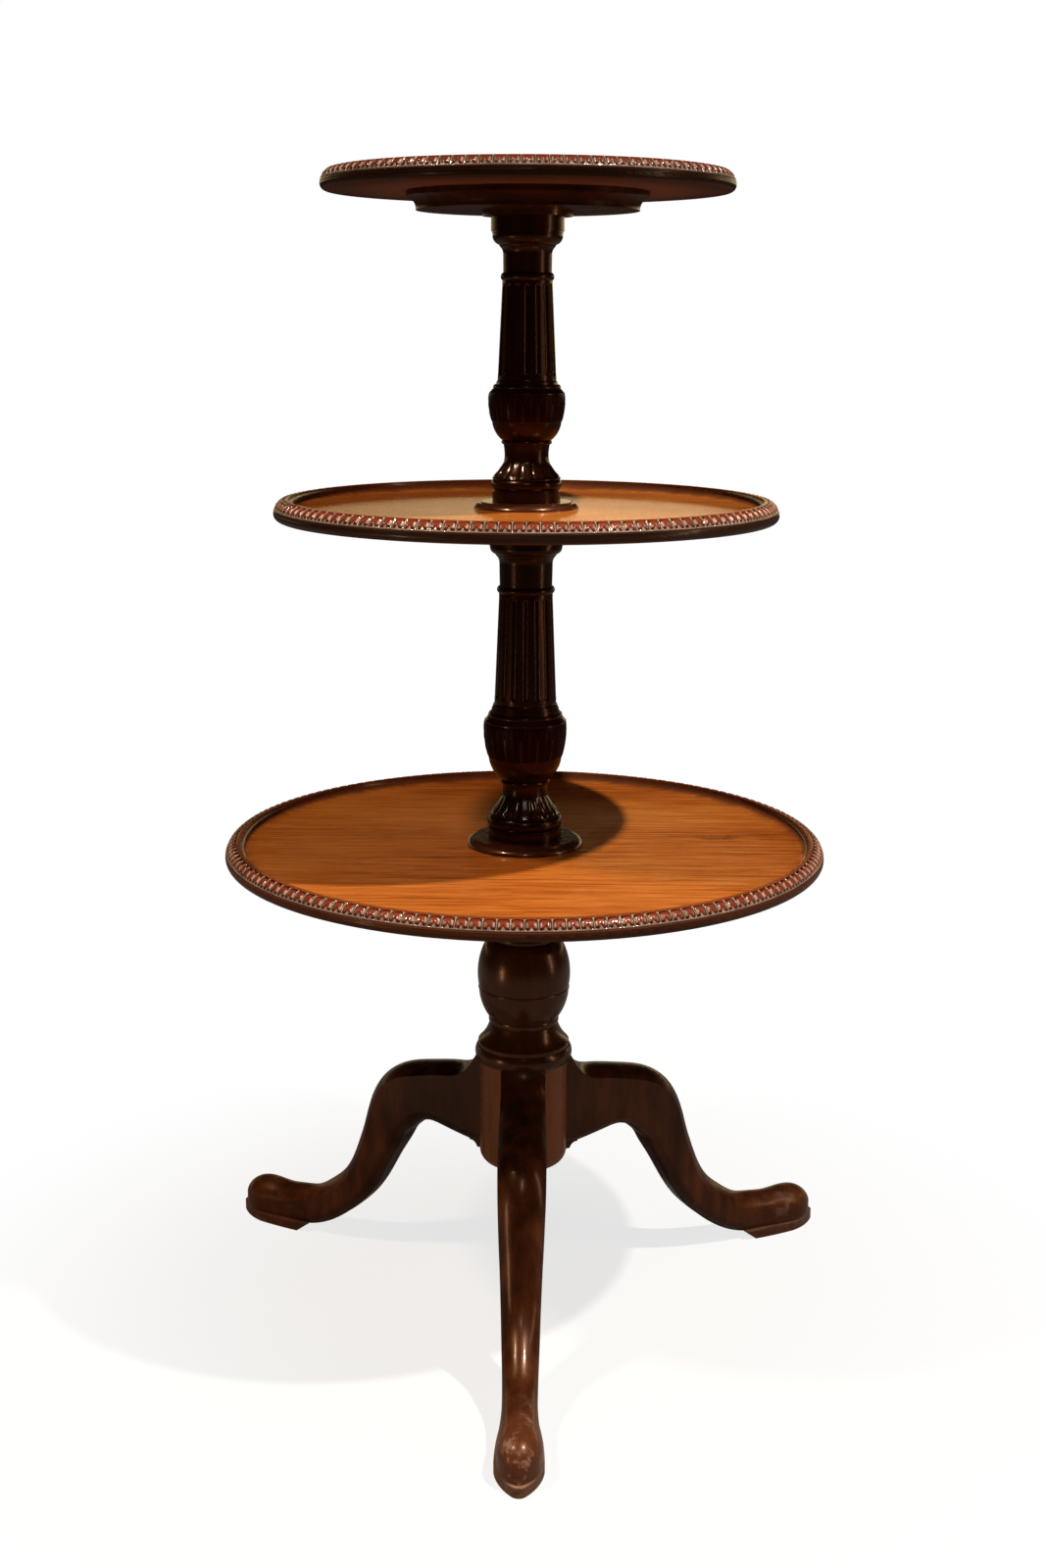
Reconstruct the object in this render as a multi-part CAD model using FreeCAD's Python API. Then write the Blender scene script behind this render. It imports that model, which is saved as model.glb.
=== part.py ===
# Three-tier dumbwaiter: three dished trays revolve on turned columns above a cabriole tripod.
# Millimetres, +Z up, front leg towards -Y. The origin is where the columns' axis meets the floor.
import FreeCAD, Part
import math
import os

Vector = FreeCAD.Vector
up = Vector(0, 0, 1)
origin = Vector(0, 0, 0)
same = None  # keeps the radius of the step before
quarter_round = 0.2  # bulge of an arc that turns through about a right angle

# Trays: outer radius, and height of the rim's top above the floor
bottom_tier_radius = 300.0
bottom_tier_height = 506.0
middle_tier_radius = 244.7
middle_tier_height = 844.0
top_tier_radius = 194.8
top_tier_height = 1149.0

# Section of every tray, from the rim inwards
rim_depth = 19.5  # top of the rim to the underside
dish_depth = 9.5  # top of the rim to the tray's surface
edge_undercut = 4.0  # how far the underside stops short of the edge
edge_swell = 7.5  # height of the round under the edge
edge_flat = 1.5  # upright part of the edge
band_setback = 1.5  # step in from the edge to the carved band
band_lift = 1.0  # rise of that step
band_width = 10.5  # band between the edge and the rim's flat
band_bulge = 0.09  # its rounding, low so that there is room for carving
rim_flat = 2.5  # narrow flat along the rim's top
cove_width = 7.0  # hollow from the flat down to the tray

# Pins, bearings and fits
spindle_radius = 13.0
spindle_socket = 45.0  # depth of a spindle in a turning of the height that is drawn
glue_line = 0.1  # around a spindle or screw that is fixed
running_clearance = 0.4  # around a spindle, in the tray that turns on it
tray_play = 0.3  # between a tray's collar and the column over it
pivot_end_gap = 1.0  # above the pin that carries the top tray
washer_thickness = 5.0
bottom_washer_radius = 52.0
middle_washer_radius = 40.0
top_washer_radius = 43.0

# Collars on the two lower trays: moulded foot and upright ring
bottom_collar_radius = 58.2
bottom_collar_height = 8.0
middle_collar_radius = 51.0
middle_collar_height = 6.5
collar_step = 7.2  # foot's radius less the ring's radius
collar_foot = 1.8  # upright part of the foot
collar_lip = 1.8  # upright part of the ring
collar_recess = 1.5  # how deep a collar is let into its tray

# Bearer block screwed under the top tray
bearer_radius = 114.7
bearer_thickness = 17.0
bearer_edge = 5.0  # upright part of its edge
bearer_hollow = 9.0  # how far the hollow under that edge goes in
screw_count = 6
screw_circle_radius = 80.0
screw_shank_radius = 2.2
screw_head_radius = 4.4
screw_head_height = 2.4
screw_bite = 8.0  # how far the screws go into the tray
screw_slot_width = 1.0
screw_slot_depth = 1.1

# Fluting of the two columns
flute_count = 16
flute_radius = 3.7
flute_depth = 1.9
flute_margin = 2.0  # plain shaft left above and below the flutes

# Pillar and tripod
pillar_bottom = 153.0
drum_radius = 45.3
drum_top = 267.0
drum_round = 13.0  # height of the rounding at the drum's lower end
drum_round_depth = 12.3  # how far that rounding goes in
leg_azimuths = {"front_leg": -90.4, "right_leg": 29.2, "left_leg": 147.6}  # set out by hand and eye
leg_reach = 382.0  # axis to the tip of a toe
dovetail_root = 26.0  # distance of the dovetail's inner face from the axis
dovetail_tail = 28.0  # its width at that face
dovetail_neck = 21.0  # its width at the drum's surface
dovetail_drop = 22.0  # its top, below the drum's top
dovetail_overrun = 5.0  # how far the slot's cut runs out past the drum
spur_reach = 12.5  # how far the hollow spur under a knee runs out from the drum
spur_tip = 3.0  # thickness of its lower end
spur_lift = 7.0  # its lower end, above the drum's
spur_overlap = 3.0  # how far it goes up into the leg
spur_width = 30.0
pad_thickness = 10.5
pad_length = 89.5  # toe to heel along the floor
pad_width = 46.5
pad_heel_width = 36.0
pad_widest = 40.0  # widest point, back from the toe
pad_swell = 0.75  # share of the widening that is reached halfway from the heel
pad_nose_width = 36.6  # width halfway along the pointed end
pad_tip_width = 12.0
pad_tip_length = 2.5
pad_heel_slant = 14.0  # how far the heel leans in over the pad's thickness
corner_share = 0.4  # largest corner of a leg's section, as a share of its smaller side

# Turnings, from the bottom up. Each step is its rise, the radius that it ends at and its bulge:
# the sagitta of an arc over its chord, above 0 for a swelling, below 0 for a hollow.
# A turning is drawn out or drawn in along the axis to fill the height between what it stands on and carries.
lower_below_shaft = (
    (0, 36.8, 0),
    (8.2, same, 0),  # plinth
    (0, 35.0, 0),
    (2.0, same, 0),  # quirk
    (0, 35.6, 0),
    (12.0, same, quarter_round),  # torus
    (0, 33.6, 0),
    (1.5, same, 0),  # fillet
    (0, 34.8, 0),
    (25.5, 22.4, -0.12),  # trumpet
    (6.0, 22.8, -0.03),  # waist
    (0, 24.0, 0),
    (4.0, same, 0.25),  # neck ring
    (22.0, 36.5, 0.1),  # vase
    (38.0, 40.8, 0.045),
    (0.8, 40.0, quarter_round),  # lip of the vase
    (3.2, 37.4, 0),  # slope above it
    (0, 36.4, 0),
    (4.6, 35.0, 0.25),  # torus
    (0, 33.9, 0),
    (4.4, 33.3, 0),  # fillets
    (0, 32.5, 0),
    (3.2, 32.1, 0),
    (3.8, 30.8, -0.15),  # hollow under the shaft
)
lower_shaft = (107.5, 26.4, 0)
lower_above_shaft = (
    (7.0, same, 0.3),  # astragal
    (0, 25.8, 0),
    (21.5, 26.2, 0),  # neck
    (8.5, 29.7, -0.12),  # hollow
    (1.5, 30.3, 0),
    (8.0, 35.4, quarter_round),  # ovolo
    (0, 36.0, 0),
    (2.0, same, 0),  # fillet
    (0, 38.0, 0),
    (19.5, same, 0),  # abacus
)
upper_below_shaft = (
    (0, 33.2, 0),
    (9.7, same, 0),  # plinth
    (0, 31.8, 0),
    (1.8, same, 0),  # quirk
    (0, 32.4, 0),
    (9.6, same, quarter_round),  # torus
    (0, 31.5, 0),
    (1.2, same, 0),  # fillet
    (0, 33.4, 0),
    (20.4, 21.3, -0.12),  # trumpet
    (12.0, 22.5, -0.03),  # waist
    (0, 23.6, 0),
    (3.5, same, 0.25),  # neck ring
    (17.0, 33.4, 0.1),  # vase
    (28.0, 36.4, 0.05),
    (0.7, 35.7, quarter_round),  # lip of the vase
    (3.0, 33.0, 0),  # slope above it
    (0, 32.0, 0),
    (4.2, 30.9, 0.25),  # torus
    (0, 29.7, 0),
    (2.6, 29.3, 0),  # fillet
    (2.5, 28.2, -0.15),  # hollow under the shaft
)
upper_shaft = (91.5, 24.0, 0)
upper_above_shaft = (
    (7.0, 23.6, 0.25),  # astragal
    (0, 23.1, 0),
    (17.0, 23.3, 0),  # neck
    (7.0, 26.4, -0.12),  # hollow
    (1.5, 27.0, 0),
    (10.5, 33.2, quarter_round),  # ovolo
    (0, 33.8, 0),
    (2.0, same, 0),  # fillet
    (0, 34.8, 0),
    (13.5, same, 0),  # abacus
)
pillar_above_drum = (
    (0, 47.4, 0),
    (15.0, 47.8, 0.17),  # torus
    (0, 47.0, 0),
    (4.5, same, 0),  # fillet
    (19.5, 35.3, -0.07),  # scotia
    (0, 35.0, 0),
    (7.0, 35.6, 0.12),  # ring
    (30.0, 46.3, 0.075),  # lower half of the vase
    (3.0, same, quarter_round),  # bead round its middle
    (42.0, 41.8, 0.075),  # upper half of the vase
    (9.0, 32.0, 0.12),  # shoulder
    (0, 34.5, 0),
    (6.0, same, quarter_round),  # neck ring
    (0, 30.5, 0),
)
pillar_shaft = (48.5, 28.5, 0)
pillar_above_shaft = (
    (0, 31.0, 0),
    (5.0, same, quarter_round),  # astragal
    (0, 29.5, 0),
    (15.0, 44.0, -0.15),  # flare
    (0, 52.0, 0),
    (10.0, same, 0),  # flange under the tray
)

# Sections of a leg. Each has the place of its crown, the place of its under edge, its width and how
# far its crown rises above its sides. At the knee, places are out from the drum and down from its top.
knee_sections = (
    (-13.0, 0.5, -13.0, 101.0, 45.0, 8.0),
    (4.7, 2.0, 4.7, 101.0, 45.0, 8.0),
    (10.7, 10.0, 10.2, 100.5, 45.0, 8.0),
    (20.7, 18.0, 18.7, 99.0, 45.5, 8.5),
    (46.7, 24.5, 42.7, 94.0, 46.5, 9.0),
    (76.7, 30.5, 61.7, 91.0, 47.5, 10.0),
    (106.7, 39.0, 77.7, 96.5, 48.0, 11.0),
    (128.7, 54.0, 88.7, 106.0, 47.5, 12.0),
    (142.7, 75.0, 97.7, 114.0, 46.5, 12.0),
)
# Along the shank and foot, places are back from the toe and up from the floor.
foot_sections = (
    (181.0, 154.0, 230.0, 137.5, 44.0, 12.0),
    (174.3, 135.0, 219.0, 119.5, 42.0, 12.0),
    (166.0, 114.0, 206.0, 96.0, 40.0, 12.0),
    (154.0, 92.0, 187.5, 67.5, 38.0, 12.0),
    (136.0, 73.5, 161.0, 41.0, 36.0, 12.0),
    (120.0, 61.5, 144.0, 27.5, 34.5, 12.5),
    (101.0, 52.0, 114.0, 11.0, 33.5, 13.0),
    (82.0, 48.7, 86.0, 4.5, 34.0, 14.5),
    (60.0, 46.0, 60.0, 4.0, 38.5, 17.0),
    (36.0, 46.5, 36.0, 4.0, 43.0, 19.0),
    (20.0, 43.0, 19.0, 4.0, 36.0, 15.0),
    (9.5, 34.0, 9.0, 4.0, 20.0, 9.0),
    (3.6, 20.0, 3.2, 4.0, 4.0, 1.8),
)
section_corner = 12.0  # rounding under a leg

# Heights that follow from those sizes
bottom_surface = bottom_tier_height - dish_depth
middle_surface = middle_tier_height - dish_depth
bottom_underside = bottom_tier_height - rim_depth
middle_underside = middle_tier_height - rim_depth
top_underside = top_tier_height - rim_depth
bearer_underside = top_underside - bearer_thickness
pillar_top = bottom_underside - washer_thickness
lower_column_bottom = bottom_surface + bottom_collar_height + tray_play
lower_column_top = middle_underside - washer_thickness
upper_column_bottom = middle_surface + middle_collar_height + tray_play
upper_column_top = bearer_underside - washer_thickness
tray_bore = spindle_radius + running_clearance
socket_bore = spindle_radius + glue_line


def rise(steps):
    return sum(step[0] for step in steps)


def stretched(steps, factor):
    return tuple((height * factor, radius, bulge) for height, radius, bulge in steps)


# How far each turning is drawn out, and the depth of its sockets
pillar_stretch = (pillar_top - drum_top) / rise(pillar_above_drum + (pillar_shaft,) + pillar_above_shaft)
lower_stretch = (lower_column_top - lower_column_bottom) / rise(
    lower_below_shaft + (lower_shaft,) + lower_above_shaft
)
upper_stretch = (upper_column_top - upper_column_bottom) / rise(
    upper_below_shaft + (upper_shaft,) + upper_above_shaft
)
pillar_socket = spindle_socket * pillar_stretch
lower_socket = spindle_socket * lower_stretch
upper_socket = spindle_socket * upper_stretch


def stick(points):
    """Face in the XZ plane from (radius, height, bulge) points; the bulge is that of the edge to a point."""
    edges = []
    for (r0, z0, _), (r1, z1, bulge) in zip(points, points[1:] + points[:1]):
        start, end = Vector(r0, 0, z0), Vector(r1, 0, z1)
        if start.isEqual(end, 1e-6):
            continue
        if bulge == 0:
            edges.append(Part.LineSegment(start, end).toShape())
            continue
        normal = Vector(z1 - z0, 0, r0 - r1)
        middle = (start + end) * 0.5 + normal * bulge
        edges.append(Part.Arc(start, middle, end).toShape())
    return Part.Face(Part.Wire(edges))


def turn(points):
    """Solid of revolution about Z."""
    return stick(points).revolve(origin, up, 360)


def cylinder(radius, z0, z1):
    return Part.makeCylinder(radius, z1 - z0, Vector(0, 0, z0))


def climb(z, steps):
    """Points of a turning that starts at a height; its first step sets the radius there."""
    points = []
    for height, end_radius, bulge in steps:
        z += height
        radius = points[-1][0] if end_radius is same else end_radius
        points.append((radius, z, bulge))
    return points


def turning(z, steps):
    """Solid turned to those steps, from a height up."""
    return turn(climb(z, steps) + [(0, z + rise(steps), 0), (0, z, 0)])


def flutes(r0, z0, r1, z1):
    """Round-ended cutters laid along a tapered shaft."""
    slope = math.atan2(r0 - r1, z1 - z0)
    half = (z1 - z0) / 2 - flute_margin
    straight = half - flute_radius
    turned_end = flute_radius * math.sqrt(0.5)
    edges = [
        Part.Arc(
            Vector(0, 0, -half),
            Vector(turned_end, 0, -straight - turned_end),
            Vector(flute_radius, 0, -straight),
        ).toShape(),
        Part.LineSegment(Vector(flute_radius, 0, -straight), Vector(flute_radius, 0, straight)).toShape(),
        Part.Arc(
            Vector(flute_radius, 0, straight),
            Vector(turned_end, 0, straight + turned_end),
            Vector(0, 0, half),
        ).toShape(),
        Part.LineSegment(Vector(0, 0, half), Vector(0, 0, -half)).toShape(),
    ]
    cutter = Part.Face(Part.Wire(edges)).revolve(origin, up, 360)
    cutter.rotate(origin, Vector(0, 1, 0), -math.degrees(slope))
    out = flute_radius - flute_depth
    cutter.translate(Vector((r0 + r1) / 2 + out * math.cos(slope), 0, (z0 + z1) / 2 + out * math.sin(slope)))
    return [turned(cutter, index * 360 / flute_count) for index in range(flute_count)]


def turned(shape, degrees):
    copy = shape.copy()
    copy.rotate(origin, up, degrees)
    return copy


def column(z0, below, shaft, above, stretch, socket):
    """Fluted column with a socket for a spindle at each end."""
    steps = stretched(below + (shaft,) + above, stretch)
    z1 = z0 + rise(steps)
    shaft_bottom = z0 + rise(below) * stretch
    shaft_top = z1 - rise(above) * stretch
    cutters = flutes(below[-1][1], shaft_bottom, shaft[1], shaft_top)
    cutters.append(cylinder(socket_bore, z0, z0 + socket))
    cutters.append(cylinder(socket_bore, z1 - socket, z1))
    return turning(z0, steps).cut(cutters)


def tray(radius, height, bore):
    """Dished tray whose rim has a round edge, a band for carving, a flat and a cove."""
    underside = height - rim_depth
    surface = height - dish_depth
    edge = underside + edge_swell + edge_flat
    band = radius - band_setback
    flat = band - band_width
    cove = flat - rim_flat
    points = [
        (bore, underside, 0),
        (radius - edge_undercut, underside, 0),
        (radius, underside + edge_swell, quarter_round),
        (radius, edge, 0),
        (band, edge + band_lift, 0),
        (flat, height, band_bulge),
        (cove, height, 0),
        (cove - cove_width, surface, -quarter_round),
        (bore, surface, 0),
    ]
    return turn(points)


def collared_tray(radius, height, collar_radius):
    """Tray with its bore and a shallow recess that its collar is let into."""
    surface = height - dish_depth
    recess = cylinder(collar_radius + glue_line, surface - collar_recess, surface)
    return tray(radius, height, tray_bore).cut(recess)


def collar(radius, height, surface):
    ring = radius - collar_step
    top = surface + height
    points = [
        (tray_bore, surface - collar_recess, 0),
        (radius, surface - collar_recess, 0),
        (radius, surface + collar_foot, 0),
        (ring, top - collar_lip, quarter_round),
        (ring, top, 0),
        (tray_bore, top, 0),
    ]
    return turn(points)


def washer(radius, z0):
    return cylinder(radius, z0, z0 + washer_thickness).cut(cylinder(socket_bore, z0, z0 + washer_thickness))


def spindle(z0, z1):
    return cylinder(spindle_radius, z0, z1)


def screw_places():
    step = 360 / screw_count
    return [index * step + step / 2 for index in range(screw_count)]


def screw_blank(extra):
    """Countersunk screw standing head down on the bearer's underside, enlarged all round by extra."""
    head = bearer_underside + screw_head_height
    tip = top_underside + screw_bite + extra
    shank = screw_shank_radius + extra
    points = [
        (0, bearer_underside, 0),
        (screw_head_radius + extra, bearer_underside, 0),
        (shank, head, 0),
        (shank, tip - shank, 0),
        (0, tip, 0),
    ]
    blank = turn(points)
    blank.translate(Vector(screw_circle_radius, 0, 0))
    return blank


def bearer_screws():
    slot = Part.makeBox(2 * screw_head_radius, screw_slot_width, screw_slot_depth)
    slot.translate(Vector(screw_circle_radius - screw_head_radius, -screw_slot_width / 2, bearer_underside))
    screw = screw_blank(0).cut(slot)
    return Part.makeCompound([turned(screw, place) for place in screw_places()])


def screw_holes():
    hole = screw_blank(glue_line)
    return [turned(hole, place) for place in screw_places()]


def bearer():
    points = [
        (tray_bore, bearer_underside, 0),
        (bearer_radius - bearer_hollow, bearer_underside, 0),
        (bearer_radius, top_underside - bearer_edge, -quarter_round),
        (bearer_radius, top_underside, 0),
        (tray_bore, top_underside, 0),
    ]
    return turn(points).cut(screw_holes())


def dovetail(outer):
    """Dovetail key along +X from its root out to a distance, narrowing outwards."""
    taper = (dovetail_tail - dovetail_neck) / (drum_radius - dovetail_root)
    outer_width = dovetail_tail - taper * (outer - dovetail_root)
    corners = [
        Vector(dovetail_root, -dovetail_tail / 2, pillar_bottom),
        Vector(outer, -outer_width / 2, pillar_bottom),
        Vector(outer, outer_width / 2, pillar_bottom),
        Vector(dovetail_root, dovetail_tail / 2, pillar_bottom),
    ]
    face = Part.Face(Part.makePolygon(corners + corners[:1]))
    return face.extrude(Vector(0, 0, drum_top - dovetail_drop - pillar_bottom))


def pillar_blank():
    """Pillar as it leaves the lathe."""
    drum = (
        (0, drum_radius - drum_round_depth, 0),
        (drum_round, drum_radius, quarter_round),
        (drum_top - pillar_bottom - drum_round, same, 0),
    )
    above = pillar_above_drum + (pillar_shaft,) + pillar_above_shaft
    return turning(pillar_bottom, drum + stretched(above, pillar_stretch))


def pillar(blank):
    slot = dovetail(drum_radius + dovetail_overrun)
    cutters = [turned(slot, azimuth) for azimuth in leg_azimuths.values()]
    cutters.append(cylinder(socket_bore, pillar_top - pillar_socket, pillar_top))
    return blank.cut(cutters)


def leg_section(crown, under, width, crown_rise):
    """Wire across a leg: flat sides, a round crown and rounded under corners."""
    lift = crown - under
    height = lift.Length
    lift.normalize()
    corner = min(section_corner, corner_share * min(width, height - crown_rise))
    bend = corner * (1 - math.sqrt(0.5))
    side = width / 2

    def place(across, above):
        return under + lift * above + Vector(0, across, 0)

    def line(a, b):
        return Part.LineSegment(place(*a), place(*b)).toShape()

    def arc(a, b, c):
        return Part.Arc(place(*a), place(*b), place(*c)).toShape()

    shoulder = height - crown_rise
    return Part.Wire([
        line((corner - side, 0), (side - corner, 0)),
        arc((side - corner, 0), (side - bend, bend), (side, corner)),
        line((side, corner), (side, shoulder)),
        arc((side, shoulder), (0, height), (-side, shoulder)),
        line((-side, shoulder), (-side, corner)),
        arc((-side, corner), (bend - side, bend), (corner - side, 0)),
    ])


def leg_pad():
    """Pointed pad under the foot, with a heel that leans in."""
    heel = leg_reach - pad_length
    back = heel - pad_heel_slant
    widest = leg_reach - pad_widest
    side = pad_width / 2
    heel_side = pad_heel_width / 2
    tip_side = pad_tip_width / 2
    shoulder = leg_reach - pad_tip_length

    def half(sign):
        swell = Vector((back + widest) / 2, sign * (heel_side + pad_swell * (side - heel_side)), 0)
        nose = Vector((widest + shoulder) / 2, sign * pad_nose_width / 2, 0)
        first = Part.Arc(Vector(back, sign * heel_side, 0), swell, Vector(widest, sign * side, 0))
        second = Part.Arc(Vector(widest, sign * side, 0), nose, Vector(shoulder, sign * tip_side, 0))
        return [first.toShape(), second.toShape()]

    right, left = half(-1), half(1)
    tip = Part.Arc(Vector(shoulder, -tip_side, 0), Vector(leg_reach, 0, 0), Vector(shoulder, tip_side, 0))
    closing = Part.LineSegment(Vector(back, heel_side, 0), Vector(back, -heel_side, 0))
    outline = Part.Wire(Part.sortEdges(right + [tip.toShape()] + left + [closing.toShape()])[0])
    pad = Part.Face(outline).extrude(Vector(0, 0, pad_thickness))
    corners = [
        Vector(heel, -pad_width, 0),
        Vector(back, -pad_width, pad_thickness),
        Vector(back, -pad_width, 0),
    ]
    wedge = Part.Face(Part.makePolygon(corners + corners[:1])).extrude(Vector(0, 2 * pad_width, 0))
    return pad.cut(wedge)


def knee_spur():
    """Small hollow bracket under a knee, against the drum."""
    foot = pillar_bottom + spur_lift
    under = drum_top - knee_sections[0][3]
    outer = drum_radius + spur_reach
    points = [
        (dovetail_root, foot, 0),
        (drum_radius + spur_tip, foot, 0),
        (outer, under, -quarter_round),
        (outer, under + spur_overlap, 0),
        (dovetail_root, under + spur_overlap, 0),
    ]
    face = stick(points)
    face.translate(Vector(0, -spur_width / 2, 0))
    return face.extrude(Vector(0, spur_width, 0))


def leg(blank):
    """Cabriole leg along +X, scribed to the pillar's drum and keyed into it."""
    sections = []
    for out, down, under_out, under_down, width, crown_rise in knee_sections:
        crown = Vector(drum_radius + out, 0, drum_top - down)
        under = Vector(drum_radius + under_out, 0, drum_top - under_down)
        sections.append(leg_section(crown, under, width, crown_rise))
    for back, height, under_back, under_height, width, crown_rise in foot_sections:
        crown = Vector(leg_reach - back, 0, height)
        under = Vector(leg_reach - under_back, 0, under_height)
        sections.append(leg_section(crown, under, width, crown_rise))
    shank = Part.makeLoft(sections, True, False)
    key = dovetail(drum_radius + dovetail_overrun).common(blank)
    return shank.fuse([leg_pad(), knee_spur()]).cut(blank).fuse(key).removeSplitter()


def build():
    """Every piece by name."""
    blank = pillar_blank()
    pieces = {
        "base_pillar": pillar(blank),
        "lower_spindle": spindle(pillar_top - pillar_socket, lower_column_bottom + lower_socket),
        "bottom_washer": washer(bottom_washer_radius, pillar_top),
        "bottom_tier": collared_tray(bottom_tier_radius, bottom_tier_height, bottom_collar_radius),
        "bottom_collar": collar(bottom_collar_radius, bottom_collar_height, bottom_surface),
        "lower_column": column(
            lower_column_bottom,
            lower_below_shaft,
            lower_shaft,
            lower_above_shaft,
            lower_stretch,
            lower_socket,
        ),
        "middle_spindle": spindle(lower_column_top - lower_socket, upper_column_bottom + upper_socket),
        "middle_washer": washer(middle_washer_radius, lower_column_top),
        "middle_tier": collared_tray(middle_tier_radius, middle_tier_height, middle_collar_radius),
        "middle_collar": collar(middle_collar_radius, middle_collar_height, middle_surface),
        "upper_column": column(
            upper_column_bottom,
            upper_below_shaft,
            upper_shaft,
            upper_above_shaft,
            upper_stretch,
            upper_socket,
        ),
        "top_pivot": spindle(upper_column_top - upper_socket, top_underside - pivot_end_gap),
        "top_washer": washer(top_washer_radius, upper_column_top),
        "top_tier": tray(top_tier_radius, top_tier_height, 0).cut(screw_holes()),
        "top_bearer": bearer(),
        "bearer_screws": bearer_screws(),
    }
    one_leg = leg(blank)
    for name, azimuth in leg_azimuths.items():
        pieces[name] = turned(one_leg, azimuth)
    return pieces


os.makedirs("parts", exist_ok=True)
for name, shape in build().items():
    state = "valid" if shape.isValid() else "NOT VALID"
    print(name, len(shape.Solids), "solids", state, round(shape.Volume / 1000, 1), "cm3")
    shape.exportStep("parts/" + name + ".step")
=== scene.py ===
# Three-tier dumbwaiter: polished dished trays with carved rims, fluted columns and a cabriole tripod
import math
import bmesh
import bpy
from mathutils import Matrix, Vector


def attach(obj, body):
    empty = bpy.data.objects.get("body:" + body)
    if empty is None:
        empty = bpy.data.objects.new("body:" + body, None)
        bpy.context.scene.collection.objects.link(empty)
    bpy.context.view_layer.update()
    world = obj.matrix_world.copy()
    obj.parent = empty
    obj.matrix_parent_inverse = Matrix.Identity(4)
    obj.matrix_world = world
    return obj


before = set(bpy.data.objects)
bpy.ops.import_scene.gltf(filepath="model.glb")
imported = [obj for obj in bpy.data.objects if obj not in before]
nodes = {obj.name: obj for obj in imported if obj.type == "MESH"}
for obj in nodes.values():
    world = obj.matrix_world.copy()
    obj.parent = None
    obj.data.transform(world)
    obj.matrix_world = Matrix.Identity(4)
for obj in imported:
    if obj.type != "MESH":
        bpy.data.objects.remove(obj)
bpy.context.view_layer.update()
scene = bpy.context.scene
print("frame:", len(nodes), "nodes")


class Wire:  # a socket of a node tree that takes part in sums
    def __init__(self, tree, socket=None):
        self.tree = tree
        self.socket = socket

    def node(self, kind, settings=None, sockets=None, out=0):
        new = self.tree.nodes.new(kind)
        for key, value in (settings or {}).items():
            if key == "stops":
                fillRamp(new.color_ramp, value)
            else:
                setattr(new, key, value)
        for key, value in (sockets or {}).items():
            if isinstance(value, Wire):
                self.tree.links.new(value.socket, new.inputs[key])
            else:
                new.inputs[key].default_value = value
        return Wire(self.tree, new.outputs[out] if new.outputs else None)

    def out(self, name):  # another output of the same node
        return Wire(self.tree, self.socket.node.outputs[name])

    def do(self, operation, *others):
        return self.node("ShaderNodeMath", {"operation": operation}, dict(enumerate((self, *others))))

    def __add__(self, other):
        return self.do("ADD", other)

    def __sub__(self, other):
        return self.do("SUBTRACT", other)

    def __rsub__(self, other):
        return self.node("ShaderNodeMath", {"operation": "SUBTRACT"}, {0: other, 1: self})

    def __mul__(self, other):
        return self.do("MULTIPLY", other)

    def __truediv__(self, other):
        return self.do("DIVIDE", other)

    def __pow__(self, other):
        return self.do("POWER", other)

    def __gt__(self, other):
        return self.do("GREATER_THAN", other)

    def __lt__(self, other):
        return self.do("LESS_THAN", other)

    def __abs__(self):
        return self.do("ABSOLUTE")

    __radd__ = __add__
    __rmul__ = __mul__

    def step(self, low, high):  # 0 below low, 1 above high, eased between; falls where low is above high
        sockets = {"Value": self, "From Min": low, "From Max": high}
        return self.node("ShaderNodeMapRange", {"interpolation_type": "SMOOTHSTEP"}, sockets)

    def mix(self, first, second):  # colours
        return self.node("ShaderNodeMix", {"data_type": "RGBA"}, {0: self, 6: first, 7: second}, 2)

    def ramp(self, *stops):  # a colour for each place between 0 and 1
        return self.node("ShaderNodeValToRGB", {"stops": stops}, {0: self})


def fillRamp(ramp, stops):
    while len(ramp.elements) < len(stops):
        ramp.elements.new(1.0)
    for element, (place, colour) in zip(ramp.elements, stops):
        element.position = place
        element.color = colour


def rgb(red, green, blue, much=1.0):
    return (red * much, green * much, blue * much, 1.0)


# carving: rings laid on a turned moulding, shaped by a height over each unit

backRows = 3  # rows of a ring's grid that close its back
weldGap = 0.000005  # metres


def arcOf(r0, z0, r1, z1, bulge):  # a moulding's arc from its ends in millimetres, in metres and radians
    start, end = Vector((r0, z0)) / 1000, Vector((r1, z1)) / 1000
    chord = end - start
    outward = Vector((chord.y, -chord.x)).normalized()
    sagitta = bulge * chord.length
    radius = chord.length_squared / (8 * sagitta) + sagitta / 2
    centre = (start + end) / 2 + outward * (sagitta - radius)
    angles = [math.atan2(*reversed((point - centre) / radius)) for point in (start, end)]
    return {
        "Centre radius": centre.x, "Centre height": centre.y, "Arc radius": radius,
        "Start angle": angles[0], "End angle": angles[1],
    }


bandInputs = {
    "Geometry": "NodeSocketGeometry",
    "Units": "NodeSocketInt", "Steps": "NodeSocketInt", "Rows": "NodeSocketInt",
    "Centre radius": "NodeSocketFloat", "Centre height": "NodeSocketFloat", "Arc radius": "NodeSocketFloat",
    "Start angle": "NodeSocketFloat", "End angle": "NodeSocketFloat",
    "Relief": "NodeSocketFloat", "Sink": "NodeSocketFloat", "Back": "NodeSocketFloat",
    "Material": "NodeSocketMaterial",
}


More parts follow.
